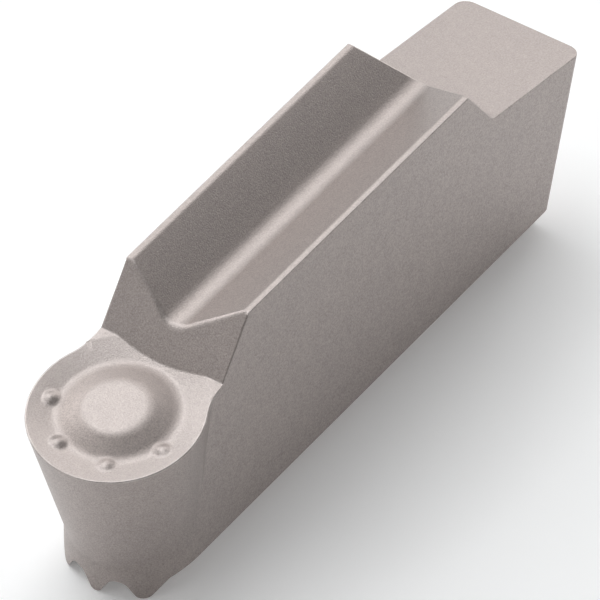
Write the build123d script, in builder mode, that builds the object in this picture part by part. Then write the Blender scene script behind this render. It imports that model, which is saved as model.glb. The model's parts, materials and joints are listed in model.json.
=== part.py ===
from build123d import *
from math import atan2, cos, degrees, radians, sin, tan
import os

# Turning insert with a full-radius nose, in millimetres.
# +X runs to the cutting nose, +Y to the left seen from behind, +Z up.
# The origin is on the floor under the middle of the insert.

# Overall
overall_length = 26.5
overall_height = 9.4
body_width = 4.8

# Round nose and its rake face
nose_diameter = 6.0
rake_tilt = 9.5
flank_clearance = 8.0
nose_to_wall = 2.6
edge_hone = 0.05

# Chip former around the nose centre
former_overrun = 0.1
former_slope = 13.0
valley_radius = 2.1
valley_fillet = 0.35
boss_radius = 1.2
boss_rise = 0.2
boss_fillet = 0.15
bump_circle_radius = 2.26
bump_radius = 0.34
bump_rise = 0.15
bump_count = 4
bump_spread = 150.0

# Clamp block with its lengthways groove
block_length = 12.7
block_height = 2.0
block_wall_angle = 36.0
groove_land = 0.22
groove_bank_angle = 30.5
groove_radius = 1.0
rear_foot_radius = 0.4

# Tail
tail_tilt = 9.5
tail_relief = 16.6
tail_corner_radius = 0.5

# Front of the body under the nose
front_setback = 1.65

# Serrated seat
ridge_pitch = 1.53
ridge_count = 3
serration_flank_angle = 30.0
serration_valley_radius = 0.4
serration_tip_radius = 0.25
seat_shoulder_angle = 34.0

# Positions worked out from the sizes above
half_width = body_width / 2
nose_radius = nose_diameter / 2
rake_slope = tan(radians(rake_tilt))
wall_run = block_height * tan(radians(block_wall_angle))
foot_z = overall_height - block_height
nose_tip_x = overall_length / 2
tail_x = -overall_length / 2
nose_x = nose_tip_x - nose_radius * cos(radians(rake_tilt))
foot_x = nose_x - nose_to_wall * cos(radians(rake_tilt))
nose_z = foot_z - nose_to_wall * sin(radians(rake_tilt))
block_front_x = foot_x - wall_run
block_rear_x = block_front_x - block_length
rear_foot_x = block_rear_x - wall_run
tail_slope = tan(radians(tail_tilt))
tail_z = foot_z - (rear_foot_x - tail_x) * tail_slope
tail_foot_x = tail_x + tail_z * tan(radians(tail_relief))
front_x = nose_tip_x - front_setback
neck_overhang = nose_radius - half_width
neck_blend_radius = (nose_to_wall**2 + half_width**2 - nose_radius**2) / (2 * neck_overhang)
blend_share = nose_radius / (nose_radius + neck_blend_radius)
blend_start = (-nose_to_wall * blend_share, (half_width + neck_blend_radius) * blend_share)
former_radius = nose_radius + former_overrun
reach = overall_length
trim = body_width / 4
wall_slope = tan(radians(block_wall_angle))
former_depth = (former_radius - valley_radius) * tan(radians(former_slope))
wall_sink = 2 * former_depth
bump_floor = (former_radius - bump_circle_radius) * tan(radians(former_slope))
bump_centre_height = bump_rise - bump_floor - bump_radius
bump_start = -bump_spread / 2
groove_half = half_width - groove_land
ridge_half_height = ridge_pitch / 2 / tan(radians(serration_flank_angle))
tip_z = -serration_tip_radius * (1 / sin(radians(serration_flank_angle)) - 1)

# Shoulder outside the last ridge, which starts at the height of the valleys
last_ridge_y = (ridge_count - 1) / 2 * ridge_pitch
valley_rise = serration_valley_radius * (1 / sin(radians(serration_flank_angle)) - 1)
shoulder_z = tip_z + ridge_half_height - valley_rise
shoulder_y = last_ridge_y + (shoulder_z - tip_z) * tan(radians(serration_flank_angle))
shoulder_slope = tan(radians(seat_shoulder_angle))
side_edge_z = shoulder_z + (half_width - shoulder_y) * shoulder_slope
seat_reach_y = half_width + ridge_count * ridge_pitch
seat_reach_z = shoulder_z + (seat_reach_y - shoulder_y) * shoulder_slope

rake_plane = Plane(
    origin=(nose_x, 0, nose_z),
    x_dir=(cos(radians(rake_tilt)), 0, -sin(radians(rake_tilt))),
    z_dir=(sin(radians(rake_tilt)), 0, cos(radians(rake_tilt))),
)
# Sketch x runs outward from the nose axis, sketch y up along the axis
former_plane = Plane(
    origin=rake_plane.origin,
    x_dir=rake_plane.x_dir,
    z_dir=(0, -1, 0),
)


def rake_height_at(x):
    """Height of the rake plane on the centre line at x."""
    return nose_z - (x - nose_x) * rake_slope


def from_rim(distance, angle):
    """Point at a distance and angle from the sharp corner that the hone takes off."""
    return (nose_radius + distance * cos(radians(angle)), rim_height + distance * sin(radians(angle)))


# Section of the hone, which touches the former's outer cone and the flank
rim_height = -former_overrun * tan(radians(former_slope))
rim_half_angle = (90 - former_slope - flank_clearance) / 2
cone_angle = 180 + former_slope
flank_angle = 270 - flank_clearance
hone_reach = edge_hone / tan(radians(rim_half_angle))
hone_gap = edge_hone / sin(radians(rim_half_angle)) - edge_hone
hone_start = from_rim(hone_reach, cone_angle)
hone_middle = from_rim(hone_gap, cone_angle + rim_half_angle)
hone_end = from_rim(hone_reach, flank_angle)
hone_above = (
    hone_start[0] - edge_hone * sin(radians(former_slope)),
    hone_start[1] + edge_hone * cos(radians(former_slope)),
)
hone_below = (
    hone_end[0] + edge_hone * cos(radians(flank_clearance)),
    hone_end[1] - edge_hone * sin(radians(flank_clearance)),
)
hone_outside = (hone_below[0], hone_above[1])

# Sketch plane where the nose circle ends on the right side
circle_end = atan2(blend_start[1], blend_start[0])
hone_plane = Plane(
    origin=rake_plane.origin,
    x_dir=rake_plane.x_dir * cos(circle_end) - rake_plane.y_dir * sin(circle_end),
    z_dir=-rake_plane.x_dir * sin(circle_end) - rake_plane.y_dir * cos(circle_end),
)

# Ridge tips and the valleys between them, from the right side to the left
ridge_points = []
for step in range(2 * ridge_count - 1):
    ridge_y = (step / 2 - (ridge_count - 1) / 2) * ridge_pitch
    ridge_points.append((ridge_y, tip_z + (step % 2) * ridge_half_height))

with BuildPart() as insert:
    # Body under the rake plane, with a full-round front
    with BuildSketch(Plane.XY) as body_plan:
        with BuildLine():
            Line((tail_x, -half_width), (front_x - half_width, -half_width))
            ThreePointArc(
                (front_x - half_width, -half_width),
                (front_x, 0),
                (front_x - half_width, half_width),
            )
            Line((front_x - half_width, half_width), (tail_x, half_width))
            Line((tail_x, half_width), (tail_x, -half_width))
        make_face()
    extrude(amount=overall_height)
    with BuildSketch(Plane.XZ) as body_side:
        with BuildLine():
            Polyline(
                (tail_foot_x, 0),
                (front_x, 0),
                (front_x, rake_height_at(front_x)),
                (foot_x, foot_z),
                (rear_foot_x, foot_z),
                (tail_x, tail_z),
                close=True,
            )
        make_face()
    extrude(amount=body_width, both=True, mode=Mode.INTERSECT)

    # Nose flank, drawn on the rake plane and tapered downward
    with BuildSketch(rake_plane) as nose_outline:
        with BuildLine():
            ThreePointArc(
                (blend_start[0], -blend_start[1]),
                (nose_radius, 0),
                blend_start,
            )
            TangentArc(
                blend_start,
                (-nose_to_wall, half_width),
                tangent=(-blend_start[1], blend_start[0]),
            )
            Line((-nose_to_wall, half_width), (-nose_to_wall, -half_width))
            TangentArc(
                (blend_start[0], -blend_start[1]),
                (-nose_to_wall, -half_width),
                tangent=(-blend_start[1], -blend_start[0]),
            )
        make_face()
    extrude(amount=-(nose_z - side_edge_z), taper=flank_clearance)

    # Chip former: a raised boss in a shallow ring-shaped dish
    with BuildSketch(rake_plane) as boss_blank:
        Circle(valley_radius)
    extrude(amount=boss_rise + trim)
    with BuildSketch(former_plane) as former_section:
        with BuildLine():
            Polyline(
                (0, boss_rise),
                (boss_radius, boss_rise),
                (valley_radius, -former_depth),
                (former_radius, 0),
                (former_radius, boss_rise + 2 * trim),
                (0, boss_rise + 2 * trim),
                close=True,
            )
        make_face()
        fillet(former_section.vertices().sort_by(Axis.Y)[0], valley_fillet)
        boss_corner = former_section.vertices().group_by(Axis.Y)[-2].sort_by(Axis.X)[-1]
        fillet(boss_corner, boss_fillet)
    revolve(axis=Axis(rake_plane.origin, rake_plane.z_dir), mode=Mode.SUBTRACT)

    # Four bumps on the outer band of the former
    with Locations(rake_plane.offset(bump_centre_height)):
        with PolarLocations(bump_circle_radius, bump_count, bump_start, bump_spread, endpoint=True):
            Sphere(bump_radius)

    # Clamp block with slanted walls, and a rounded foot where the rear wall meets the tail shelf
    with BuildSketch(Plane.XZ) as block_side:
        with BuildLine():
            Polyline(
                (block_front_x, overall_height),
                (foot_x + wall_sink * wall_slope, foot_z - wall_sink),
                (rear_foot_x - wall_sink, foot_z - wall_sink),
                (rear_foot_x - wall_sink, foot_z - wall_sink * tail_slope),
                (rear_foot_x, foot_z),
                (block_rear_x, overall_height),
                close=True,
            )
        make_face()
        fillet(block_side.vertices().sort_by_distance((rear_foot_x, foot_z, 0))[0], rear_foot_radius)
    extrude(amount=half_width, both=True)

    # Lengthways groove with a narrow land on each side
    with BuildSketch(Plane.YZ) as groove_section:
        with BuildLine():
            Polyline(
                (-groove_half, overall_height),
                (0, overall_height - groove_half * tan(radians(groove_bank_angle))),
                (groove_half, overall_height),
                (groove_half, overall_height + trim),
                (-groove_half, overall_height + trim),
                close=True,
            )
        make_face()
        fillet(groove_section.vertices().sort_by(Axis.Y)[0], groove_radius)
    extrude(amount=reach, both=True, mode=Mode.SUBTRACT)

    # Serrated seat, cut the full length of the underside
    with BuildSketch(Plane.YZ) as seat_section:
        with BuildLine():
            Polyline(
                (-seat_reach_y, seat_reach_z),
                (-shoulder_y, shoulder_z),
                *ridge_points,
                (shoulder_y, shoulder_z),
                (seat_reach_y, seat_reach_z),
                (seat_reach_y, tip_z - trim),
                (-seat_reach_y, tip_z - trim),
                close=True,
            )
        make_face()
        seat_levels = seat_section.vertices().group_by(Axis.Y)
        fillet(seat_levels[2] + seat_levels[3], serration_valley_radius)
        fillet(seat_section.vertices().group_by(Axis.Y)[1], serration_tip_radius)
    extrude(amount=reach, both=True, mode=Mode.SUBTRACT)

    # Rounded corners at the tail
    tail_edges = insert.faces().sort_by(Axis.X)[0].edges().group_by(Axis.Y)
    fillet(tail_edges[0] + tail_edges[-1], tail_corner_radius)

    # Honed cutting edge, as far round the nose as its circle goes
    with BuildSketch(hone_plane) as hone_section:
        with BuildLine():
            ThreePointArc(hone_start, hone_middle, hone_end)
            Polyline(hone_end, hone_below, hone_outside, hone_above, hone_start)
        make_face()
    revolve(
        axis=Axis(rake_plane.origin, rake_plane.z_dir),
        revolution_arc=2 * degrees(circle_end),
        mode=Mode.SUBTRACT,
    )

insert.part.label = "insert"
os.makedirs("parts", exist_ok=True)
export_step(insert.part, "parts/insert.step")
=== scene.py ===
"""Looks, light and camera for the turning insert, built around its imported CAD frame."""

import json
import logging
from dataclasses import dataclass, field
from enum import Enum
from math import atan2, ceil, cos, degrees, pi, radians, sin, tan
from typing import Callable, Iterable, Sequence

import bmesh
import bpy
from mathutils import Matrix, Vector

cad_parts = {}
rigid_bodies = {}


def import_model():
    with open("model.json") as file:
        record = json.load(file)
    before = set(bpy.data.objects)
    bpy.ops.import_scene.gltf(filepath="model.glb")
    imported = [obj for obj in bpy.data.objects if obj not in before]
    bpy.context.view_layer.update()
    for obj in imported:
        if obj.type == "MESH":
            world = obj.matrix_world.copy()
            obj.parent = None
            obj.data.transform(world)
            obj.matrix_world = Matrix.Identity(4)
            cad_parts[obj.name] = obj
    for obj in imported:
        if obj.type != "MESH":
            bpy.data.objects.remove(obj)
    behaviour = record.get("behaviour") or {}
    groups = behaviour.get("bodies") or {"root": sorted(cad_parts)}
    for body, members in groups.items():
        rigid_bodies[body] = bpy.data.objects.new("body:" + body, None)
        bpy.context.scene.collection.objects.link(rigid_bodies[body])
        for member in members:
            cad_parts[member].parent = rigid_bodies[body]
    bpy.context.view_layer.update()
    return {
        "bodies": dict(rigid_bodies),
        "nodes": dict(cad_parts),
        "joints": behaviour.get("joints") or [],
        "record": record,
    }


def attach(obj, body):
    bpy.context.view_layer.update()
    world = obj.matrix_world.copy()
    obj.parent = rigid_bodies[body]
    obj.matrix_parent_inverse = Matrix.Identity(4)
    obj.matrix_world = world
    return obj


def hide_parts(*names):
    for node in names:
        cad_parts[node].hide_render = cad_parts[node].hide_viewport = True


LOG = logging.getLogger("insert")
# One millimetre in metres: the solid is shaped in millimetres and scaled at the end
MM = 0.001
# In millimetres: vertices this near become one, and a point this near a face or line lies on it
MERGE = 0.0008
TOUCH = 0.01
Point2 = tuple[float, float]


class Cut(Enum):
    """How a tool solid changes the blank."""

    JOIN = "UNION"
    REMOVE = "DIFFERENCE"
    KEEP_INSIDE = "INTERSECT"


def arc(centre: Point2, radius: float, start: float, end: float, steps: int) -> list[Point2]:
    """Points along a circular arc, both ends included.

    Args:
        centre: Middle of the circle.
        radius: Radius of the circle.
        start: Angle of the first point, in degrees.
        end: Angle of the last point, in degrees.
        steps: Number of chords.

    Returns:
        The points in order.
    """
    points = []
    for step in range(steps + 1):
        angle = radians(start + (end - start) * step / steps)
        points.append((centre[0] + radius * cos(angle), centre[1] + radius * sin(angle)))
    return points


def rounded(
    corners: Sequence[Point2], radii: dict[int, float], chord_angle: float
) -> list[Point2]:
    """A closed outline with some of its corners rounded.

    Args:
        corners: Corner points of the outline.
        radii: Fillet radius for each corner that is rounded, by its index.
        chord_angle: Largest turn between neighbouring chords, in degrees.

    Returns:
        The outline's points with an arc at each rounded corner.
    """
    outline: list[Point2] = []
    count = len(corners)
    for index, corner in enumerate(corners):
        if index not in radii:
            outline.append(corner)
            continue
        here = Vector(corner)
        back = (Vector(corners[index - 1]) - here).normalized()
        ahead = (Vector(corners[(index + 1) % count]) - here).normalized()
        half = back.angle(ahead) / 2
        centre = here + (back + ahead).normalized() * radii[index] / sin(half)
        first = here + back * radii[index] / tan(half) - centre
        last = here + ahead * radii[index] / tan(half) - centre
        start = atan2(first.y, first.x)
        turn = atan2(first.x * last.y - first.y * last.x, first.dot(last))
        steps = max(2, ceil(abs(degrees(turn)) / chord_angle))
        end = start + turn
        outline.extend(arc(tuple(centre), radii[index], degrees(start), degrees(end), steps))
    return outline


def solid_between(name: str, lower: Sequence[Vector], upper: Sequence[Vector]) -> bpy.types.Object:
    """A solid whose flat ends are two loops with the same number of points.

    Args:
        name: Name of the new object.
        lower: Points of the first end.
        upper: Points of the second end, in the same order.

    Returns:
        The new mesh object.
    """
    work = bmesh.new()
    first = [work.verts.new(point) for point in lower]
    second = [work.verts.new(point) for point in upper]
    count = len(first)
    work.faces.new(first)
    work.faces.new(second)
    for index in range(count):
        following = (index + 1) % count
        work.faces.new((first[index], first[following], second[following], second[index]))
    return finished_mesh(name, work)


def turned(
    name: str,
    profile: Sequence[Point2],
    place: Matrix,
    steps: int,
    drift: Callable[[float], float] = lambda radius: 0.0,
) -> bpy.types.Object:
    """A solid of revolution about the third axis of a frame.

    Args:
        name: Name of the new object.
        profile: Radius and height of each point, from the axis round to the axis.
        place: Frame that the solid is turned in.
        steps: Number of facets round the axis.
        drift: How far the middle of a ring of a given radius lies along the first axis.

    Returns:
        The new mesh object.
    """
    work = bmesh.new()
    rings: list[list[bmesh.types.BMVert]] = []
    for radius, height in profile:
        if radius == 0:
            rings.append([work.verts.new(place @ Vector((0, 0, height)))])
            continue
        ring = []
        for step in range(steps):
            angle = 2 * pi * (step + 0.5) / steps
            x = drift(radius) + radius * cos(angle)
            ring.append(work.verts.new(place @ Vector((x, radius * sin(angle), height))))
        rings.append(ring)
    for inner, outer in zip(rings, rings[1:]):
        for step in range(steps):
            following = (step + 1) % steps
            if len(inner) == 1:
                work.faces.new((inner[0], outer[step], outer[following]))
            elif len(outer) == 1:
                work.faces.new((inner[following], inner[step], outer[0]))
            else:
                work.faces.new((inner[following], inner[step], outer[step], outer[following]))
    return finished_mesh(name, work)


def finished_mesh(name: str, work: bmesh.types.BMesh) -> bpy.types.Object:
    """Turns a worked mesh into an object in the scene.

    Args:
        name: Name of the new object.
        work: The worked mesh, which is freed.

    Returns:
        The new mesh object.
    """
    bmesh.ops.recalc_face_normals(work, faces=work.faces)
    data = bpy.data.meshes.new(name)
    work.to_mesh(data)
    work.free()
    made = bpy.data.objects.new(name, data)
    bpy.context.scene.collection.objects.link(made)
    return made


def shape_with(blank: bpy.types.Object, tool: bpy.types.Object, cut: Cut) -> None:
    """Applies a tool solid to the blank and removes the tool.

    Args:
        blank: The solid that is changed.
        tool: The solid that it is changed by.
        cut: How it is changed.
    """
    modifier = blank.modifiers.new("cut", "BOOLEAN")
    modifier.operation = cut.value
    modifier.solver = "EXACT"
    modifier.object = tool
    bpy.context.view_layer.update()
    depsgraph = bpy.context.evaluated_depsgraph_get()
    shaped = bpy.data.meshes.new_from_object(blank.evaluated_get(depsgraph))
    blank.modifiers.clear()
    work = bmesh.new()
    work.from_mesh(shaped)
    bmesh.ops.remove_doubles(work, verts=work.verts, dist=MERGE)
    bmesh.ops.dissolve_degenerate(work, dist=MERGE, edges=work.edges)
    work.to_mesh(shaped)
    work.free()
    blank.data = shaped
    bpy.data.objects.remove(tool)


def merge_sides(blank: bpy.types.Object) -> None:
    """Makes one face of the several that booleans leave on each flat side.

    Args:
        blank: The solid.
    """
    work = bmesh.new()
    work.from_mesh(blank.data)
    upright = 0.99999
    between = [
        edge
        for edge in work.edges
        if edge.is_manifold and all(abs(face.normal.y) > upright for face in edge.link_faces)
    ]
    bmesh.ops.dissolve_edges(work, edges=between, use_verts=True, use_face_split=False)
    work.to_mesh(blank.data)
    work.free()


@dataclass(frozen=True)
class Layout:
    """Sizes in millimetres that several forms share, and the places that follow from them."""

    length: float = 26.5
    height: float = 9.4
    width: float = 4.8
    nose_diameter: float = 6.0
    rake_tilt: float = 9.5
    nose_to_wall: float = 2.6
    block_length: float = 12.7
    block_height: float = 2.0
    block_wall_angle: float = 36.0
    tail_tilt: float = 9.5

    @property
    def half_width(self) -> float:
        """Half of the body's width."""
        return self.width / 2

    @property
    def nose_radius(self) -> float:
        """Radius of the cutting edge."""
        return self.nose_diameter / 2

    @property
    def foot_z(self) -> float:
        """Height of the foot of the clamp block."""
        return self.height - self.block_height

    @property
    def nose_x(self) -> float:
        """Place of the nose centre along the body."""
        return self.length / 2 - self.nose_radius * cos(radians(self.rake_tilt))

    @property
    def nose_z(self) -> float:
        """Height of the nose centre."""
        return self.foot_z - self.nose_to_wall * sin(radians(self.rake_tilt))

    @property
    def wall_foot_x(self) -> float:
        """Place of the foot of the block's front wall."""
        return self.nose_x - self.nose_to_wall * cos(radians(self.rake_tilt))

    @property
    def wall_slope(self) -> float:
        """Run of a block wall for each millimetre of its height."""
        return tan(radians(self.block_wall_angle))

    @property
    def block_front_x(self) -> float:
        """Front end of the block's top."""
        return self.wall_foot_x - self.block_height * self.wall_slope

    @property
    def block_rear_x(self) -> float:
        """Rear end of the block's top."""
        return self.block_front_x - self.block_length

    @property
    def rear_foot_x(self) -> float:
        """Place of the foot of the block's rear wall."""
        return self.block_rear_x - self.block_height * self.wall_slope

    @property
    def tail_x(self) -> float:
        """Rearmost point of the body."""
        return -self.length / 2

    @property
    def tail_z(self) -> float:
        """Height of the tail's upper rear edge."""
        return self.foot_z - (self.rear_foot_x - self.tail_x) * tan(radians(self.tail_tilt))

    @property
    def rake_frame(self) -> Matrix:
        """Frame at the nose centre, with its third axis square to the rake face."""
        tilt = radians(self.rake_tilt)
        return Matrix.Translation((self.nose_x, 0, self.nose_z)) @ Matrix.Rotation(tilt, 4, "Y")

    def front_wall_x(self, z: float) -> float:
        """Place of the block's front wall at a height."""
        return self.block_front_x + (self.height - z) * self.wall_slope


@dataclass
class BodyStock:
    """The straight body under the rake face, with a full-round front and a leaning tail."""

    layout: Layout
    front_setback: float = 1.65
    tail_relief: float = 16.6
    tail_corner_radius: float = 0.5
    under_rake: float = 3.0
    front_steps: int = 96
    corner_steps: int = 14
    spare: float = 1.0

    def plan(self, z: float) -> list[Vector]:
        """Outline of the body at one height.

        Args:
            z: Height of the outline.

        Returns:
            The outline's points.
        """
        lay = self.layout
        lean = radians(self.tail_relief)
        rear_x = lay.tail_x + (lay.tail_z - z) * tan(lean)
        front_centre = lay.length / 2 - self.front_setback - lay.half_width
        points = arc((front_centre, 0), lay.half_width, -90, 90, self.front_steps)
        radius = self.tail_corner_radius
        for side, first in ((1, 90), (-1, 180)):
            middle = side * (lay.half_width - radius)
            for x, y in arc((0, 0), radius, first, first + 90, self.corner_steps):
                points.append((rear_x + (x + radius) / cos(lean), middle + y))
        return [Vector((x, y, z)) for x, y in points]

    def mesh(self) -> bpy.types.Object:
        """Builds the body up to the rake face and the tail shelf.

        Returns:
            The new mesh object.
        """
        lay = self.layout
        stock = solid_between("body_stock", self.plan(-self.spare), self.plan(lay.height))
        # The top runs a little under the rake face, so that only the nose makes that face
        front = lay.length / 2 + self.spare
        rear = lay.tail_x - self.spare
        under = tan(radians(lay.rake_tilt + self.under_rake))
        side = [
            (rear, -2 * self.spare),
            (front, -2 * self.spare),
            (front, lay.foot_z - (front - lay.wall_foot_x) * under),
            (lay.wall_foot_x, lay.foot_z),
            (lay.rear_foot_x, lay.foot_z),
            (rear, lay.foot_z - (lay.rear_foot_x - rear) * tan(radians(lay.tail_tilt))),
        ]
        reach = lay.width
        envelope = solid_between(
            "body_side",
            [Vector((x, -reach, z)) for x, z in side],
            [Vector((x, reach, z)) for x, z in side],
        )
        shape_with(stock, envelope, Cut.KEEP_INSIDE)
        return stock


@dataclass
class Nose:
    """The round cutting end, tapered downward and blended into the body's sides."""

    layout: Layout
    flank_clearance: float = 8.0
    depth: float = 6.3
    facet_angle: float = 1.875
    blend_steps: int = 22

    def outline(self) -> list[tuple[Point2, Point2]]:
        """Points of the cutting edge on the rake face, each with its outward direction.

        Returns:
            Pairs of point and outward direction, in order round the nose.
        """
        lay = self.layout
        overhang = lay.nose_radius - lay.half_width
        beyond_nose = lay.nose_to_wall**2 + lay.half_width**2 - lay.nose_radius**2
        blend_radius = beyond_nose / (2 * overhang)
        blend_centre = (-lay.nose_to_wall, lay.half_width + blend_radius)
        join_angle = degrees(atan2(blend_centre[1], blend_centre[0]))
        pairs: list[tuple[Point2, Point2]] = []
        angles = [-join_angle]
        whole = int(join_angle / self.facet_angle)
        angles.extend(step * self.facet_angle for step in range(-whole, whole + 1))
        angles.append(join_angle)
        for angle in angles:
            out = (cos(radians(angle)), sin(radians(angle)))
            pairs.append(((lay.nose_radius * out[0], lay.nose_radius * out[1]), out))
        blend = []
        for x, y in arc(blend_centre, blend_radius, join_angle - 180, -90, self.blend_steps)[1:]:
            out = ((blend_centre[0] - x) / blend_radius, (blend_centre[1] - y) / blend_radius)
            blend.append(((x, y), out))
        pairs.extend(blend)
        pairs.extend(((x, -y), (u, -v)) for (x, y), (u, v) in reversed(blend))
        return pairs

    def mesh(self) -> bpy.types.Object:
        """Builds the tapered nose, from the rake face down.

        Returns:
            The new mesh object.
        """
        frame = self.layout.rake_frame
        draw_in = self.depth * tan(radians(self.flank_clearance))
        lower = []
        upper = []
        for (x, y), (u, v) in self.outline():
            upper.append(frame @ Vector((x, y, 0)))
            lower.append(frame @ Vector((x - u * draw_in, y - v * draw_in, -self.depth)))
        return solid_between("nose", lower, upper)


@dataclass
class ChipFormer:
    """The raised boss, the ring-shaped dish round it and the four bumps on its outer band."""

    layout: Layout
    band_radius: float = 3.1
    band_slope: float = 13.0
    valley_radius: float = 2.0
    valley_drift: float = -0.1
    valley_fillet: float = 0.7
    boss_radius: float = 1.13
    boss_rise: float = 0.18
    boss_fillet: float = 0.9
    bump_circle_radius: float = 2.26
    bump_circle_middle: Point2 = (-0.14, -0.05)
    bump_foot: float = 0.37
    bump_rise: float = 0.12
    bump_count: int = 4
    bump_spread: float = 146.0
    bump_reach: float = 0.05
    facets: int = 192
    chord_angle: float = 4.0
    cone_shares: tuple[float, ...] = (0.5, 0.58, 0.65, 0.7, 0.74)
    band_rings: int = 10
    blank_depth: float = 0.5
    blank_height: float = 1.4
    clear: float = 2.4
    side_reach: float = 0.02
    outline_reach: float = 0.1
    rim_end: float = -2.45
    rim_fade: float = 0.7
    # Mask of the dish, where the finish is rougher and a lighter tone is painted in as painted
    # light
    zone_name: str = "dish_zone"
    zone_drop: float = 0.25
    zone_fade: float = 0.2
    zone_reach: float = 0.1

    @property
    def depth(self) -> float:
        """Depth of the dish under the rake face, before its floor is rounded."""
        return (self.band_radius - self.valley_radius) * tan(radians(self.band_slope))

    def drift(self, radius: float) -> float:
        """How far behind the nose centre a ring of the former has its middle.

        Args:
            radius: Radius of the ring.

        Returns:
            The distance along the rake face, which is most at the floor of the dish.
        """
        if radius < self.valley_radius:
            share = (radius - self.boss_radius) / (self.valley_radius - self.boss_radius)
        else:
            share = (self.band_radius - radius) / (self.band_radius - self.valley_radius)
        return self.valley_drift * max(0.0, share)

    def apply(self, blank: bpy.types.Object) -> None:
        """Forms the chip former on the rake face.

        Args:
            blank: The solid that it is formed on.
        """
        frame = self.layout.rake_frame
        disc = [
            (0, -self.blank_depth),
            (self.valley_radius, -self.blank_depth),
            (self.valley_radius, self.blank_height),
            (0, self.blank_height),
        ]
        shape_with(blank, turned("boss_blank", disc, frame, self.facets), Cut.JOIN)
        slope = tan(radians(self.band_slope))
        # Rings on the band under the bumps' outer feet
        rings = [
            self.bump_circle_radius + self.bump_foot * step / self.band_rings
            for step in range(1, self.band_rings + 1)
        ]
        # Close rings on the cone keep the bumps' feet from pulling at its upper part
        cone = []
        for share in self.cone_shares:
            radius = self.boss_radius + (self.valley_radius - self.boss_radius) * share
            cone.append((radius, self.boss_rise - (self.boss_rise + self.depth) * share))
        section = rounded(
            [
                (0, self.boss_rise),
                (self.boss_radius, self.boss_rise),
                *cone,
                (self.valley_radius, -self.depth),
                *[(radius, (radius - self.band_radius) * slope) for radius in rings],
                (self.band_radius, 0),
                (self.band_radius, self.clear),
                (0, self.clear),
            ],
            {1: self.boss_fillet, 2 + len(cone): self.valley_fillet},
            self.chord_angle,
        )
        shape_with(blank, turned("dish", section, frame, self.facets, self.drift), Cut.REMOVE)

    def mark_dish(self, blank: bpy.types.Object) -> None:
        """Marks the dish between the boss and the band, which is made rougher and painted lighter
        as painted light.

        Args:
            blank: The finished solid.
        """
        inverse = self.layout.rake_frame.inverted()
        zone = blank.data.attributes.new(self.zone_name, "FLOAT", "POINT")
        for vertex in blank.data.vertices:
            local = inverse @ vertex.co
            if not -self.depth - self.zone_reach < local.z < self.boss_rise + self.zone_reach:
                continue
            radius = (local.xy - Vector((self.valley_drift, 0))).length
            low = (self.boss_rise - local.z) / (self.zone_drop * self.boss_rise)
            inner = (self.valley_radius + self.zone_fade / 2 - radius) / self.zone_fade
            zone.data[vertex.index].value = min(max(min(low, inner), 0.0), 1.0)

    def on_outline(self, point: Vector) -> bool:
        """Whether a point lies on the outline of the rake face.

        Args:
            point: The point, in millimetres.

        Returns:
            True for a point on the cutting edge or one of the necks behind it.
        """
        local = self.layout.rake_frame.inverted() @ point
        outside = local.xy.length > self.layout.nose_radius - self.outline_reach
        at_side = local.x > 0 or abs(local.y) > self.layout.half_width - self.side_reach
        return outside and at_side and abs(local.z) < self.depth / 2

    def on_rim(self, point: Vector) -> bool:
        """Whether a point lies on the outline, clear of its ends where the flank thins out.

        Args:
            point: The point, in millimetres.

        Returns:
            True for a point on the part that is honed.
        """
        return self.on_outline(point) and self.hone(point) > 0

    def hone(self, point: Vector) -> float:
        """How much of the hone the outline has at a point, less towards its ends.

        Args:
            point: The point, in millimetres.

        Returns:
            The share of the full width.
        """
        local = self.layout.rake_frame.inverted() @ point
        return min(max((local.x - self.rim_end) / self.rim_fade, 0.0), 1.0)

    def raise_bumps(self, blank: bpy.types.Object) -> None:
        """Raises the bumps on the outer band, each with a soft foot.

        Args:
            blank: The solid that carries them.
        """
        frame = self.layout.rake_frame
        inverse = frame.inverted()
        up = frame.to_3x3() @ Vector((0, 0, 1))
        centres = []
        for index in range(self.bump_count):
            angle = radians(self.bump_spread * (index / (self.bump_count - 1) - 0.5))
            across = Vector((cos(angle), sin(angle))) * self.bump_circle_radius
            centres.append(Vector(self.bump_circle_middle) + across)
        for vertex in blank.data.vertices:
            local = inverse @ vertex.co
            if not -self.depth - self.bump_reach < local.z < self.bump_reach:
                continue
            for centre in centres:
                away = (local.xy - centre).length / self.bump_foot
                if away < 1:
                    vertex.co += up * self.bump_rise * (1 - away**2) ** 2


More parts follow.
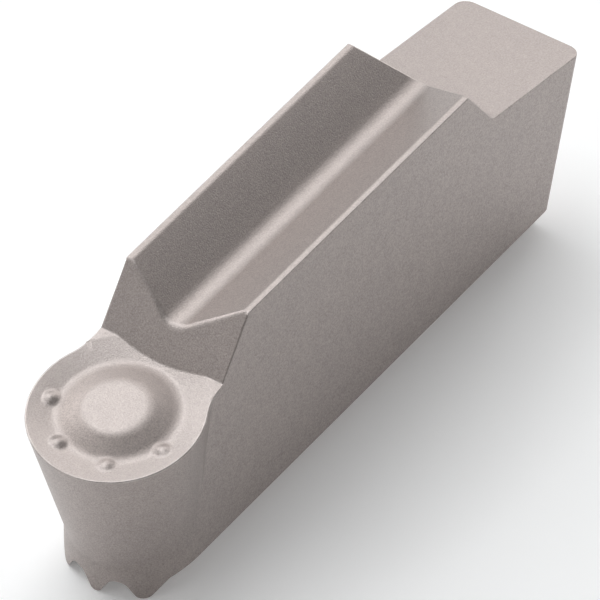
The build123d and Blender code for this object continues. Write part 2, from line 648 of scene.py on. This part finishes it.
@dataclass
class ClampBlock:
    """The raised block with slanted walls, a rounded rear foot and a lengthways groove."""

    layout: Layout
    sink: float = 0.46
    rear_foot_radius: float = 0.6
    groove_land: float = 0.22
    groove_bank_angle: float = 30.5
    groove_radius: float = 0.92
    bank_crown: float = 0.025
    bank_rounding: float = 0.5
    rim_depth: float = 1.4
    foot_steps: int = 10
    bank_steps: int = 8
    chord_angle: float = 4.0
    spare: float = 1.2

    def side(self) -> list[Point2]:
        """Outline of the block seen from its side, with the fillet at its rear foot.

        Returns:
            The outline's points.
        """
        lay = self.layout
        shelf_turn = radians(lay.tail_tilt)
        wall_turn = radians(90 - lay.block_wall_angle)
        # Both tangent points lie the same distance from the foot
        reach = self.rear_foot_radius * tan((wall_turn - shelf_turn) / 2)
        wall_point = Vector(
            (lay.rear_foot_x + reach * cos(wall_turn), lay.foot_z + reach * sin(wall_turn))
        )
        centre = wall_point + Vector((-sin(wall_turn), cos(wall_turn))) * self.rear_foot_radius
        first_angle = degrees(wall_turn) - 90
        last_angle = lay.tail_tilt - 90
        fillet = arc(tuple(centre), self.rear_foot_radius, first_angle, last_angle, self.foot_steps)
        rearmost = fillet[-1][0]
        return [
            (lay.block_front_x, lay.height),
            (lay.wall_foot_x + self.sink * lay.wall_slope, lay.foot_z - self.sink),
            (rearmost, lay.foot_z - self.sink),
            *reversed(fillet),
            (lay.block_rear_x, lay.height),
        ]

    def mesh(self) -> bpy.types.Object:
        """Builds the block without its groove.

        Returns:
            The new mesh object.
        """
        half = self.layout.half_width
        outline = self.side()
        return solid_between(
            "clamp_block",
            [Vector((x, -half, z)) for x, z in outline],
            [Vector((x, half, z)) for x, z in outline],
        )

    def on_front_rim(self, point: Vector) -> bool:
        """Whether a point lies where the front wall meets the groove or the lands.

        Args:
            point: The point, in millimetres.

        Returns:
            True for a point on that rim.
        """
        lay = self.layout
        on_wall = abs(point.x - lay.front_wall_x(point.z)) < TOUCH
        between_sides = abs(point.y) < lay.half_width - TOUCH
        return on_wall and between_sides and point.z > lay.height - self.rim_depth

    def front_rounding(self, point: Vector) -> float:
        """How much of its rounding the front rim has at a point, most at the floor of the groove.

        Args:
            point: The point, in millimetres.

        Returns:
            The share of the full width.
        """
        third = self.groove_radius / 3
        away = (abs(point.y) - third) / (2 * third)
        return 1 - (1 - self.bank_rounding) * min(max(away, 0.0), 1.0)

    def on_wall_side(self, point: Vector) -> bool:
        """Whether a point lies where the front wall meets one of the body's sides.

        Args:
            point: The point, in millimetres.

        Returns:
            True for a point on those edges.
        """
        lay = self.layout
        on_wall = abs(point.x - lay.front_wall_x(point.z)) < TOUCH
        at_side = abs(abs(point.y) - lay.half_width) < TOUCH
        return on_wall and at_side and lay.foot_z < point.z < lay.height

    def on_land(self, point: Vector) -> bool:
        """Whether a point lies where a narrow land meets the groove.

        Args:
            point: The point, in millimetres.

        Returns:
            True for a point on those edges.
        """
        lay = self.layout
        return point.z > lay.height - TOUCH and abs(point.y) < lay.half_width - self.groove_land / 2

    def groove(self) -> bpy.types.Object:
        """Builds the cutter for the lengthways groove.

        Returns:
            The new mesh object.
        """
        lay = self.layout
        half = lay.half_width - self.groove_land
        turn = radians(self.groove_bank_angle)
        slope = tan(turn)
        # The bank that faces left is pressed very slightly convex
        top = Vector((-half, lay.height))
        foot_y = self.groove_radius * sin(turn)
        foot = Vector((-foot_y, lay.height - (half - foot_y) * slope))
        bank = []
        for step in range(1, self.bank_steps):
            share = step / self.bank_steps
            rise = Vector((sin(turn), cos(turn))) * self.bank_crown * 4 * share * (1 - share)
            bank.append(tuple(top.lerp(foot, share) + rise))
        section = rounded(
            [
                (-half - self.spare, lay.height + self.spare * slope),
                tuple(top),
                *bank,
                (0, lay.height - half * slope),
                (half + self.spare, lay.height + self.spare * slope),
                (half + self.spare, lay.height + self.spare * 2),
                (-half - self.spare, lay.height + self.spare * 2),
            ],
            {2 + len(bank): self.groove_radius},
            self.chord_angle,
        )
        return solid_between(
            "groove",
            [Vector((-lay.length, y, z)) for y, z in section],
            [Vector((lay.length, y, z)) for y, z in section],
        )


@dataclass
class SerratedSeat:
    """The underside with its rounded lengthways ridges and sloped shoulders."""

    layout: Layout
    pitch: float = 1.53
    ridges: int = 3
    flank_angle: float = 30.0
    valley_radius: float = 0.4
    tip_radius: float = 0.25
    shoulder_angle: float = 34.0
    chord_angle: float = 6.0
    reach: float = 6.0
    spare: float = 2.0

    def cutter(self) -> bpy.types.Object:
        """Builds the solid that is cut away under the body.

        Returns:
            The new mesh object.
        """
        flank = radians(self.flank_angle)
        tip_z = -self.tip_radius * (1 / sin(flank) - 1)
        rise = self.pitch / 2 / tan(flank)
        shoulder_z = tip_z + rise - self.valley_radius * (1 / sin(flank) - 1)
        last_ridge = (self.ridges - 1) / 2 * self.pitch
        shoulder_y = last_ridge + (shoulder_z - tip_z) * tan(flank)
        outer_z = shoulder_z + (self.reach - shoulder_y) * tan(radians(self.shoulder_angle))
        corners = [(-self.reach, outer_z), (-shoulder_y, shoulder_z)]
        radii = {1: self.valley_radius}
        for step in range(2 * self.ridges - 1):
            radii[len(corners)] = self.tip_radius if step % 2 == 0 else self.valley_radius
            across = (step / 2 - (self.ridges - 1) / 2) * self.pitch
            corners.append((across, tip_z + (step % 2) * rise))
        radii[len(corners)] = self.valley_radius
        corners.extend([(shoulder_y, shoulder_z), (self.reach, outer_z)])
        corners.extend([(self.reach, tip_z - self.spare), (-self.reach, tip_z - self.spare)])
        section = rounded(corners, radii, self.chord_angle)
        length = self.layout.length
        return solid_between(
            "seat_cutter",
            [Vector((-length, y, z)) for y, z in section],
            [Vector((length, y, z)) for y, z in section],
        )


@dataclass
class EdgeBreak:
    """Small rounding along edges, as pressing, sintering and honing leave it."""

    width: float = 0.05
    segments: int = 3
    least_angle: float = 11.0
    least_hollow: float = 30.0
    within: Callable[[Vector], bool] | None = None
    share: Callable[[Vector], float] | None = None
    joint_angle: float = 35.0
    # How strongly outward rounding gets the brighter edge colour: partly worn metal, partly a
    # painted highlight
    wear_and_highlight: float = 0.75
    mask_angle: float = 10.0
    mask_name: str = "edge_break"
    hollow_mark: float = 0.5

    def takes(self, edge: bmesh.types.BMEdge, mask: bmesh.types.BMLayerItem) -> bool:
        """Whether an edge is one of those to round.

        Args:
            edge: The edge.
            mask: Face layer that marks what is rounded already.

        Returns:
            True for an edge inside the limits.
        """
        if not edge.is_manifold:
            return False
        turn = degrees(edge.calc_face_angle_signed(0))
        marked = sum(1 for face in edge.link_faces if face[mask] > 0)
        if marked == 2 or (marked == 1 and abs(turn) < self.joint_angle):
            return False
        if -self.least_hollow < turn < 0:
            return False
        middle = (edge.verts[0].co + edge.verts[1].co) / 2
        if self.within is not None and not self.within(middle):
            return False
        return abs(turn) > self.least_angle

    def apply(self, blank: bpy.types.Object) -> None:
        """Rounds the edges, and marks the new faces where they turn outward, by how much worn metal
        and painted highlight they get.

        Args:
            blank: The finished solid.
        """
        work = bmesh.new()
        work.from_mesh(blank.data)
        layers = work.faces.layers.float
        mask = layers.get(self.mask_name) or layers.new(self.mask_name)
        chosen = [edge for edge in work.edges if self.takes(edge, mask)]
        lines = [(edge.verts[0].co.copy(), edge.verts[1].co.copy()) for edge in chosen]
        made = bmesh.ops.bevel(
            work,
            geom=chosen,
            offset=self.width,
            offset_type="OFFSET",
            segments=self.segments,
            profile=0.5,
            affect="EDGES",
            clamp_overlap=False,
            loop_slide=True,
        )
        for face in work.faces:
            face.smooth = True
            face.normal_update()
        least = radians(self.mask_angle)
        for face in made["faces"]:
            turns = [edge.calc_face_angle_signed(0) for edge in face.edges if edge.is_manifold]
            face[mask] = self.wear_and_highlight if max(turns) > least else self.hollow_mark
        if self.share is not None:
            self.taper(work, made["verts"], lines)
        work.to_mesh(blank.data)
        work.free()

    def taper(
        self,
        work: bmesh.types.BMesh,
        vertices: Iterable[bmesh.types.BMVert],
        lines: Sequence[tuple[Vector, Vector]],
    ) -> None:
        """Draws the rounding back to the sharp edge where it has less than its full width.

        Args:
            work: The mesh that is worked on.
            vertices: The vertices of the rounding.
            lines: Both ends of each edge that was rounded.
        """
        for vertex in vertices:
            share = self.share(vertex.co)
            if share >= 1:
                continue
            feet = []
            for start, end in lines:
                along = end - start
                reach = min(max((vertex.co - start).dot(along) / along.length_squared, 0.0), 1.0)
                feet.append(start + along * reach)
            nearest = min(feet, key=lambda foot: (foot - vertex.co).length_squared)
            vertex.co = nearest.lerp(vertex.co, share)
        bmesh.ops.remove_doubles(work, verts=work.verts, dist=MERGE)


@dataclass
class EvenShading:
    """Normals that stay true on each form and turn smoothly only across the broken edges."""

    form_angle: float = 18.0
    edge_angle: float = 38.0
    least_area: float = 1e-12

    def apply(self, piece: bpy.types.Object) -> None:
        """Sets the normal of every face corner.

        Args:
            piece: The finished solid.
        """
        work = bmesh.new()
        work.from_mesh(piece.data)
        work.faces.ensure_lookup_table()
        mask = work.faces.layers.float.get(EdgeBreak.mask_name)
        areas = [face.calc_area() for face in work.faces]
        for face in work.faces:
            face.normal_update()
        limits = {True: cos(radians(self.edge_angle)), False: cos(radians(self.form_angle))}
        normals: list[Vector] = []
        for face in work.faces:
            least = limits[face[mask] > 0]
            for corner in face.loops:
                total = Vector((0, 0, 0))
                for near in corner.vert.link_faces:
                    if near.normal.dot(face.normal) >= least:
                        total += near.normal * areas[near.index]
                known = total.length > self.least_area
                normals.append(total.normalized() if known else face.normal.copy())
        work.free()
        piece.data.normals_split_custom_set([tuple(normal) for normal in normals])


class NodeGroup(Enum):
    """The shared surface effects."""

    GRAIN = "sinter_grain"
    TONE = "tone_drift"
    # Edges painted brighter: partly worn metal, partly a painted highlight
    WEAR_AND_HIGHLIGHT = "edge_wear"


def add_node(
    tree: bpy.types.NodeTree,
    kind: str,
    values: dict[str | int, float | tuple[float, ...]] | None = None,
    **settings: str | bool | bpy.types.NodeTree,
) -> bpy.types.Node:
    """Adds a shader node.

    Args:
        tree: The material's tree, or a group.
        kind: Type of the node, without the ShaderNode that its name starts with.
        values: Values of its inputs that nothing is linked to, by name or number.
        **settings: Its other settings, such as operation.

    Returns:
        The new node.
    """
    made = tree.nodes.new(f"ShaderNode{kind}")
    for setting, value in settings.items():
        setattr(made, setting, value)
    for socket, value in (values or {}).items():
        made.inputs[socket].default_value = value
    return made


def join(
    tree: bpy.types.NodeTree,
    links: Iterable[tuple[bpy.types.Node, str | int, bpy.types.Node, str | int]],
) -> None:
    """Links sockets.

    Args:
        tree: The material's tree, or a group.
        links: A node, its output, the node that the link goes to and the input there.
    """
    for source, output, target, entry in links:
        tree.links.new(source.outputs[output], target.inputs[entry])


@dataclass
class GroupKit:
    """Builds the shared node groups once and hands them to the finishes."""

    made: dict[NodeGroup, bpy.types.NodeTree] = field(default_factory=dict)

    def get(self, which: NodeGroup) -> bpy.types.NodeTree:
        """The node group for an effect, built at its first use.

        Args:
            which: The effect.

        Returns:
            The node group.
        """
        if which not in self.made:
            builder = {
                NodeGroup.GRAIN: self.build_grain,
                NodeGroup.TONE: self.build_tone,
                NodeGroup.WEAR_AND_HIGHLIGHT: self.build_wear_and_highlight,
            }[which]
            self.made[which] = builder(bpy.data.node_groups.new(which.value, "ShaderNodeTree"))
        return self.made[which]

    @staticmethod
    def ends(
        tree: bpy.types.NodeTree,
        inputs: dict[str, tuple[str, float | tuple[float, ...] | None]],
        outputs: dict[str, str],
    ) -> tuple[bpy.types.Node, bpy.types.Node]:
        """Gives a group its named sockets and its two end nodes.

        Args:
            tree: The empty group.
            inputs: Kind of each input (Float, Color or Vector), and its value without a link.
            outputs: Kind of each output.

        Returns:
            The node that the inputs come from, and the one that the outputs go to.
        """
        for name, (kind, value) in inputs.items():
            made = tree.interface.new_socket(name, in_out="INPUT", socket_type=f"NodeSocket{kind}")
            if value is not None:
                made.default_value = value
        for name, kind in outputs.items():
            tree.interface.new_socket(name, in_out="OUTPUT", socket_type=f"NodeSocket{kind}")
        return tree.nodes.new("NodeGroupInput"), tree.nodes.new("NodeGroupOutput")

    def build_grain(self, tree: bpy.types.NodeTree) -> bpy.types.NodeTree:
        """Fine speckle of a pressed and sintered surface.

        Args:
            tree: The empty group.

        Returns:
            The filled group.
        """
        ends, out = self.ends(
            tree,
            {
                "Position": ("Vector", None),
                "Grains per metre": ("Float", 19000.0),
                "Clouds per metre": ("Float", 2600.0),
                "Cloud share": ("Float", 0.12),
                "Pit share": ("Float", 0.6),
            },
            {"Speckle": "Float", "Height": "Float"},
        )
        fine = add_node(tree, "TexNoise", {"Detail": 3.0, "Roughness": 0.65})
        cloud = add_node(tree, "TexNoise", {"Detail": 2.0})
        pits = add_node(tree, "TexVoronoi", feature="F1")
        speckle = add_node(tree, "Math", operation="MULTIPLY_ADD")
        height = add_node(tree, "Math", operation="MULTIPLY_ADD")
        join(tree, [(ends, "Position", node, "Vector") for node in (fine, cloud, pits)])
        join(tree, [(ends, "Grains per metre", node, "Scale") for node in (fine, pits)])
        join(
            tree,
            [
                (ends, "Clouds per metre", cloud, "Scale"),
                (cloud, "Fac", speckle, 0),
                (ends, "Cloud share", speckle, 1),
                (fine, "Fac", speckle, 2),
                (speckle, "Value", out, "Speckle"),
                (pits, "Distance", height, 0),
                (ends, "Pit share", height, 1),
                (fine, "Fac", height, 2),
                (height, "Value", out, "Height"),
            ],
        )
        return tree

    def build_tone(self, tree: bpy.types.NodeTree) -> bpy.types.NodeTree:
        """Slow drift of a colour over the body.

        Args:
            tree: The empty group.

        Returns:
            The filled group.
        """
        ends, out = self.ends(
            tree,
            {
                "Position": ("Vector", None),
                "Colour": ("Color", (0.4, 0.35, 0.33, 1)),
                "Far colour": ("Color", (0.36, 0.33, 0.33, 1)),
                "Waves per metre": ("Float", 220.0),
            },
            {"Colour": "Color"},
        )
        wave = add_node(tree, "TexNoise", {"Detail": 4.0})
        mix = add_node(tree, "Mix", data_type="RGBA")
        join(
            tree,
            [
                (ends, "Position", wave, "Vector"),
                (ends, "Waves per metre", wave, "Scale"),
                (wave, "Fac", mix, "Factor"),
                (ends, "Colour", mix, "A"),
                (ends, "Far colour", mix, "B"),
                (mix, "Result", out, "Colour"),
            ],
        )
        return tree

    def build_wear_and_highlight(self, tree: bpy.types.NodeTree) -> bpy.types.NodeTree:
        """Smoother metal along the broken edges, in patches, painted brighter: partly really worn,
        partly a painted highlight.

        Args:
            tree: The empty group.

        Returns:
            The filled group.
        """
        ends, out = self.ends(
            tree,
            {
                "Position": ("Vector", None),
                "Strength": ("Float", 1.0),
                "Patches per metre": ("Float", 1500.0),
                "Colour": ("Color", (0.4, 0.35, 0.33, 1)),
                "Edge wear and highlight colour": ("Color", (0.6, 0.56, 0.54, 1)),
                "Roughness": ("Float", 0.42),
                "Edge roughness": ("Float", 0.3),
            },
            {"Colour": "Color", "Roughness": "Float"},
        )
        mask = add_node(tree, "Attribute", attribute_name=EdgeBreak.mask_name)
        outward = add_node(tree, "MapRange", {"From Min": EdgeBreak.hollow_mark})
        patch = add_node(tree, "TexNoise", {"Detail": 3.0})
        spread = add_node(tree, "MapRange", {"From Min": 0.3, "From Max": 0.6})
        patched = add_node(tree, "Math", operation="MULTIPLY")
        share = add_node(tree, "Math", operation="MULTIPLY")
        colour = add_node(tree, "Mix", data_type="RGBA")
        rough = add_node(tree, "Mix")
        join(
            tree,
            [
                (mask, "Fac", outward, "Value"),
                (ends, "Position", patch, "Vector"),
                (ends, "Patches per metre", patch, "Scale"),
                (patch, "Fac", spread, "Value"),
                (outward, "Result", patched, 0),
                (spread, "Result", patched, 1),
                (patched, "Value", share, 0),
                (ends, "Strength", share, 1),
                (share, "Value", colour, "Factor"),
                (ends, "Colour", colour, "A"),
                (ends, "Edge wear and highlight colour", colour, "B"),
                (colour, "Result", out, "Colour"),
                (share, "Value", rough, "Factor"),
                (ends, "Roughness", rough, "A"),
                (ends, "Edge roughness", rough, "B"),
                (rough, "Result", out, "Roughness"),
            ],
        )
        return tree


@dataclass(frozen=True)
class CarbideFinish:
    """Satin cemented carbide as it leaves sintering and blasting."""

    name: str = "satin_carbide"
    colour: tuple[float, float, float] = (0.412, 0.362, 0.340)
    far_colour: tuple[float, float, float] = (0.384, 0.340, 0.326)
    # Brighter colour of the rounded edges: partly worn metal, partly a painted highlight
    edge_wear_highlight_colour: tuple[float, float, float] = (0.62, 0.57, 0.55)
    metallic: float = 0.85
    ior: float = 1.5
    roughness: float = 0.42
    roughness_swing: float = 0.04
    edge_roughness: float = 0.32
    edge_wear_highlight_strength: float = 0.5
    dish_roughness: float = 0.62
    # Painted light: how much lighter the dish's base colour is painted
    dish_painted_light_gain: float = 1.22
    grain_range: tuple[float, float] = (0.26, 0.86)
    speckle: float = 0.34
    upward_speckle: float = 0.62
    upward_range: tuple[float, float] = (0.88, 0.95)
    bump_depth: float = 0.006 * MM

    def material(self, groups: GroupKit) -> bpy.types.Material:
        """Builds the material.

        Args:
            groups: The shared node groups.

        Returns:
            The new material.
        """
        made = bpy.data.materials.new(self.name)
        made.use_nodes = True
        tree = made.node_tree
        shader = tree.nodes["Principled BSDF"]
        shader.inputs["Metallic"].default_value = self.metallic
        shader.inputs["IOR"].default_value = self.ior
        place = add_node(tree, "TexCoord")
        tone = add_node(
            tree,
            "Group",
            {"Colour": (*self.colour, 1), "Far colour": (*self.far_colour, 1)},
            node_tree=groups.get(NodeGroup.TONE),
        )
        grain = add_node(tree, "Group", node_tree=groups.get(NodeGroup.GRAIN))
        # Rounded edges get a brighter colour: partly worn metal, partly a painted highlight
        wear_and_highlight = add_node(
            tree,
            "Group",
            {
                "Strength": self.edge_wear_highlight_strength,
                "Edge wear and highlight colour": (*self.edge_wear_highlight_colour, 1),
                "Edge roughness": self.edge_roughness,
            },
            node_tree=groups.get(NodeGroup.WEAR_AND_HIGHLIGHT),
        )
        join(tree, [(place, "Object", node, "Position") for node in (tone, grain, wear_and_highlight)])
        self.speckled(tree, place, tone, grain, wear_and_highlight)
        self.dished(tree, wear_and_highlight, shader)
        bump = add_node(tree, "Bump", {"Strength": 1.0, "Distance": self.bump_depth})
        join(
            tree,
            [
                (grain, "Height", bump, "Height"),
                (bump, "Normal", shader, "Normal"),
            ],
        )
        return made

    def speckled(
        self,
        tree: bpy.types.NodeTree,
        place: bpy.types.Node,
        tone: bpy.types.Node,
        grain: bpy.types.Node,
        wear_and_highlight: bpy.types.Node,
    ) -> None:
        """Puts the grain into the colour and the roughness that go on to the edge wear.

        Args:
            tree: The material's tree.
            place: The texture coordinates.
            tone: The drifting colour.
            grain: The grain.
            wear_and_highlight: The edge wear.
        """
        lowest, highest = self.grain_range
        level = add_node(
            tree,
            "MapRange",
            {
                "From Min": lowest,
                "From Max": highest,
                "To Min": -self.speckle,
                "To Max": self.speckle,
            },
            clamp=False,
        )
        rough = add_node(
            tree,
            "MapRange",
            {
                "From Min": lowest,
                "From Max": highest,
                "To Min": self.roughness + self.roughness_swing,
                "To Max": self.roughness - self.roughness_swing,
            },
        )
        # The blast comes from above, so faces that look up are the smoothest
        facing = add_node(tree, "SeparateXYZ")
        smoother = add_node(
            tree,
            "MapRange",
            {
                "From Min": self.upward_range[0],
                "From Max": self.upward_range[1],
                "To Min": 1.0,
                "To Max": self.upward_speckle,
            },
        )
        factor = add_node(tree, "Math", {2: 1.0}, operation="MULTIPLY_ADD")
        tinted = add_node(tree, "VectorMath", operation="SCALE")
        join(
            tree,
            [
                (grain, "Speckle", level, "Value"),
                (grain, "Speckle", rough, "Value"),
                (place, "Normal", facing, "Vector"),
                (facing, "Z", smoother, "Value"),
                (level, "Result", factor, 0),
                (smoother, "Result", factor, 1),
                (tone, "Colour", tinted, 0),
                (factor, "Value", tinted, "Scale"),
                (tinted, "Vector", wear_and_highlight, "Colour"),
                (rough, "Result", wear_and_highlight, "Roughness"),
            ],
        )

    def dished(
        self, tree: bpy.types.NodeTree, wear_and_highlight: bpy.types.Node, shader: bpy.types.Node
    ) -> None:
        """Makes the dish duller and paints it lighter as painted light, and hands colour and
        roughness to the shader.

        Args:
            tree: The material's tree.
            wear_and_highlight: The edge wear.
            shader: The material's shader.
        """
        zone = add_node(tree, "Attribute", attribute_name=ChipFormer.zone_name)
        # Painted light: the dish's base colour is raised so that it reads lighter
        lighter = add_node(tree, "Math", {1: self.dish_painted_light_gain - 1, 2: 1.0}, operation="MULTIPLY_ADD")
        colour = add_node(tree, "VectorMath", operation="SCALE")
        duller = add_node(tree, "Mix", {"B": self.dish_roughness})
        join(
            tree,
            [
                (zone, "Fac", lighter, 0),
                (wear_and_highlight, "Colour", colour, 0),
                (lighter, "Value", colour, "Scale"),
                (colour, "Vector", shader, "Base Color"),
                (zone, "Fac", duller, "Factor"),
                (wear_and_highlight, "Roughness", duller, "A"),
                (duller, "Result", shader, "Roughness"),
            ],
        )


@dataclass(frozen=True)
class FloorFinish:
    """Plain pale studio floor that keeps the object's shadow."""

    name: str = "pale_floor"
    colour: tuple[float, float, float] = (0.9, 0.9, 0.9)
    lift: float = 0.17

    def material(self) -> bpy.types.Material:
        """Builds the material.

        Returns:
            The new material.
        """
        made = bpy.data.materials.new(self.name)
        made.use_nodes = True
        tree = made.node_tree
        tree.nodes.clear()
        out = add_node(tree, "OutputMaterial")
        matt = add_node(tree, "BsdfDiffuse", {"Color": (*self.colour, 1)})
        glow = add_node(tree, "Emission")
        both = add_node(tree, "AddShader")
        path = add_node(tree, "LightPath")
        mirrored = add_node(tree, "Math", operation="MAXIMUM")
        seen = add_node(tree, "Math", operation="MAXIMUM")
        level = add_node(tree, "Math", {1: self.lift}, operation="MULTIPLY")
        join(
            tree,
            [
                (path, "Is Camera Ray", mirrored, 0),
                (path, "Is Glossy Ray", mirrored, 1),
                (mirrored, "Value", seen, 0),
                (path, "Is Transmission Ray", seen, 1),
                (seen, "Value", level, 0),
                (level, "Value", glow, "Strength"),
                (matt, "BSDF", both, 0),
                (glow, "Emission", both, 1),
                (both, "Shader", out, "Surface"),
            ],
        )
        return made


@dataclass(frozen=True)
class Softbox:
    """One square studio lamp that faces the object."""

    name: str
    bearing: float
    rise: float
    radiance: float
    colour: tuple[float, float, float] = (1.0, 1.0, 1.0)
    size: float = 0.35
    distance: float = 0.55
    aim_height: float = 0.005

    def place(self) -> bpy.types.Object:
        """Adds the lamp to the scene.

        Returns:
            The lamp object.
        """
        bearing = radians(self.bearing)
        rise = radians(self.rise)
        towards = Vector((cos(bearing) * cos(rise), sin(bearing) * cos(rise), sin(rise)))
        data = bpy.data.lights.new(self.name, "AREA")
        data.shape = "SQUARE"
        data.size = self.size
        data.color = self.colour
        data.energy = self.radiance * pi * self.size**2
        lamp = bpy.data.objects.new(self.name, data)
        lamp.location = towards * self.distance + Vector((0, 0, self.aim_height))
        lamp.rotation_mode = "QUATERNION"
        lamp.rotation_quaternion = towards.to_track_quat("Z", "Y")
        lamp.visible_camera = False
        bpy.context.scene.collection.objects.link(lamp)
        return lamp


@dataclass
class Studio:
    """Floor, lamps, surroundings and camera."""

    world_level: float = 0.2
    floor_radius: float = 1.4
    rim_height: float = 0.6
    floor_steps: int = 96
    sweep_steps: int = 16
    lens: float = 816.5
    sensor_width: float = 36.0
    clip: Point2 = (0.05, 20.0)
    target: tuple[float, float, float] = (6.2737 * MM, 0.0, 9.4 * MM)
    azimuth: float = 124.48
    elevation: float = 42.35
    distance: float = 0.43899
    aside: float = 0.0036346
    below: float = 0.0004829
    lamps: list[Softbox] = field(
        default_factory=lambda: [
            Softbox("low_tail_softbox", 180.0, 12.0, 2.6),
            Softbox("tail_softbox", 202.5, 42.0, 1.8),
            Softbox("rear_softbox", 247.5, 42.0, 1.95, (0.97, 1.0, 1.015)),
            Softbox("overhead_softbox", 270.0, 72.0, 2.5, (0.97, 1.0, 1.015)),
            Softbox("low_rear_softbox", 270.0, 12.0, 2.9),
            Softbox("nose_softbox", 330.0, 34.0, 0.8),
        ]
    )

    def floor(self) -> bpy.types.Object:
        """Builds the floor, which sweeps up into a low backdrop all round.

        Returns:
            The floor object.
        """
        steps = self.floor_steps
        work = bmesh.new()
        middle = work.verts.new((0, 0, 0))
        rings = []
        sweep = arc((self.floor_radius, self.rim_height), self.rim_height, -90, 0, self.sweep_steps)
        for radius, height in sweep:
            ring = []
            for step in range(steps):
                angle = 2 * pi * step / steps
                ring.append(work.verts.new((radius * cos(angle), radius * sin(angle), height)))
            rings.append(ring)
        for step in range(steps):
            work.faces.new((middle, rings[0][step], rings[0][(step + 1) % steps]))
        for inner, outer in zip(rings, rings[1:]):
            for step in range(steps):
                following = (step + 1) % steps
                work.faces.new((inner[step], outer[step], outer[following], inner[following]))
        for face in work.faces:
            face.smooth = True
        data = bpy.data.meshes.new("studio_floor")
        work.to_mesh(data)
        work.free()
        made = bpy.data.objects.new("studio_floor", data)
        data.materials.append(FloorFinish().material())
        bpy.context.scene.collection.objects.link(made)
        return made

    def surroundings(self) -> None:
        """Sets the plain light that comes from all round."""
        world = bpy.data.worlds.new("studio_world")
        world.use_nodes = True
        background = world.node_tree.nodes["Background"]
        background.inputs["Color"].default_value = (1, 1, 1, 1)
        background.inputs["Strength"].default_value = self.world_level
        bpy.context.scene.world = world

    def camera(self) -> bpy.types.Object:
        """Adds the camera at the photograph's viewing angle.

        Returns:
            The camera object.
        """
        azimuth = radians(self.azimuth)
        elevation = radians(self.elevation)
        level = cos(elevation)
        back = Vector((sin(azimuth) * level, -cos(azimuth) * level, sin(elevation)))
        right = Vector((cos(azimuth), sin(azimuth), 0))
        up = back.cross(right)
        data = bpy.data.cameras.new("photo_camera")
        data.lens = self.lens
        data.sensor_width = self.sensor_width
        data.clip_start, data.clip_end = self.clip
        made = bpy.data.objects.new("photo_camera", data)
        place = Vector(self.target) + back * self.distance + right * self.aside - up * self.below
        turn = Matrix((right, up, back)).transposed().to_4x4()
        made.matrix_world = Matrix.Translation(place) @ turn
        bpy.context.scene.collection.objects.link(made)
        bpy.context.scene.camera = made
        return made

    def build(self) -> None:
        """Sets up the whole studio."""
        self.floor()
        self.surroundings()
        for lamp in self.lamps:
            lamp.place()
        self.camera()
        bpy.context.scene.view_settings.view_transform = "Standard"


@dataclass
class Insert:
    """The whole insert: one sintered solid, built from its forms in order."""

    layout: Layout = field(default_factory=Layout)
    seat_top: float = 1.2
    name: str = "turning_insert"

    def edge_breaks(self, former: ChipFormer, block: ClampBlock) -> list[EdgeBreak]:
        """The rounding passes, in the order in which they are made.

        Args:
            former: The chip former, which knows the cutting edge.
            block: The clamp block, which knows its own rims.

        Returns:
            The passes.
        """
        return [
            EdgeBreak(
                width=0.073,
                segments=4,
                least_angle=60.0,
                within=former.on_rim,
                share=former.hone,
                # The honed cutting edge gets the full edge colour, which is mostly a painted
                # highlight
                wear_and_highlight=1.0,
            ),
            EdgeBreak(
                width=0.02,
                segments=2,
                within=lambda point: point.z < self.seat_top,
                wear_and_highlight=0.6,
            ),
            EdgeBreak(
                width=0.2,
                segments=5,
                within=block.on_front_rim,
                share=block.front_rounding,
                wear_and_highlight=0.5,
            ),
            EdgeBreak(width=0.07, within=block.on_wall_side, wear_and_highlight=0.5),
            EdgeBreak(width=0.06, within=block.on_land, wear_and_highlight=0.5),
            EdgeBreak(
                width=0.035,
                within=lambda point: point.z > self.seat_top and not former.on_outline(point),
            ),
        ]

    def mesh(self) -> bpy.types.Object:
        """Builds the shaped and edge-broken solid, in metres.

        Returns:
            The new mesh object.
        """
        lay = self.layout
        blank = BodyStock(lay).mesh()
        shape_with(blank, Nose(lay).mesh(), Cut.JOIN)
        former = ChipFormer(lay)
        former.apply(blank)
        block = ClampBlock(lay)
        shape_with(blank, block.mesh(), Cut.JOIN)
        shape_with(blank, block.groove(), Cut.REMOVE)
        shape_with(blank, SerratedSeat(lay).cutter(), Cut.REMOVE)
        merge_sides(blank)
        for edge_break in self.edge_breaks(former, block):
            edge_break.apply(blank)
        former.raise_bumps(blank)
        former.mark_dish(blank)
        blank.data.transform(Matrix.Scale(MM, 4))
        blank.name = self.name
        blank.data.name = self.name
        return blank

    def dress(self, piece: bpy.types.Object, groups: GroupKit) -> None:
        """Gives the solid its finish and even shading.

        Args:
            piece: The solid.
            groups: The shared node groups.
        """
        piece.data.materials.clear()
        piece.data.materials.append(CarbideFinish().material(groups))
        EvenShading().apply(piece)


def main() -> None:
    """Builds the insert and the studio."""
    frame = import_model()
    LOG.info("frame: CAD nodes %s", ", ".join(frame["nodes"]))
    insert = Insert()
    piece = insert.mesh()
    insert.dress(piece, GroupKit())
    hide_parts("insert")
    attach(piece, "root")
    LOG.info("%s: %d vertices", piece.name, len(piece.data.vertices))
    Studio().build()
    LOG.info("studio: floor, lamps and camera are set")


if __name__ == "__main__":
    logging.basicConfig(level=logging.INFO, format="%(name)s: %(message)s")
    main()
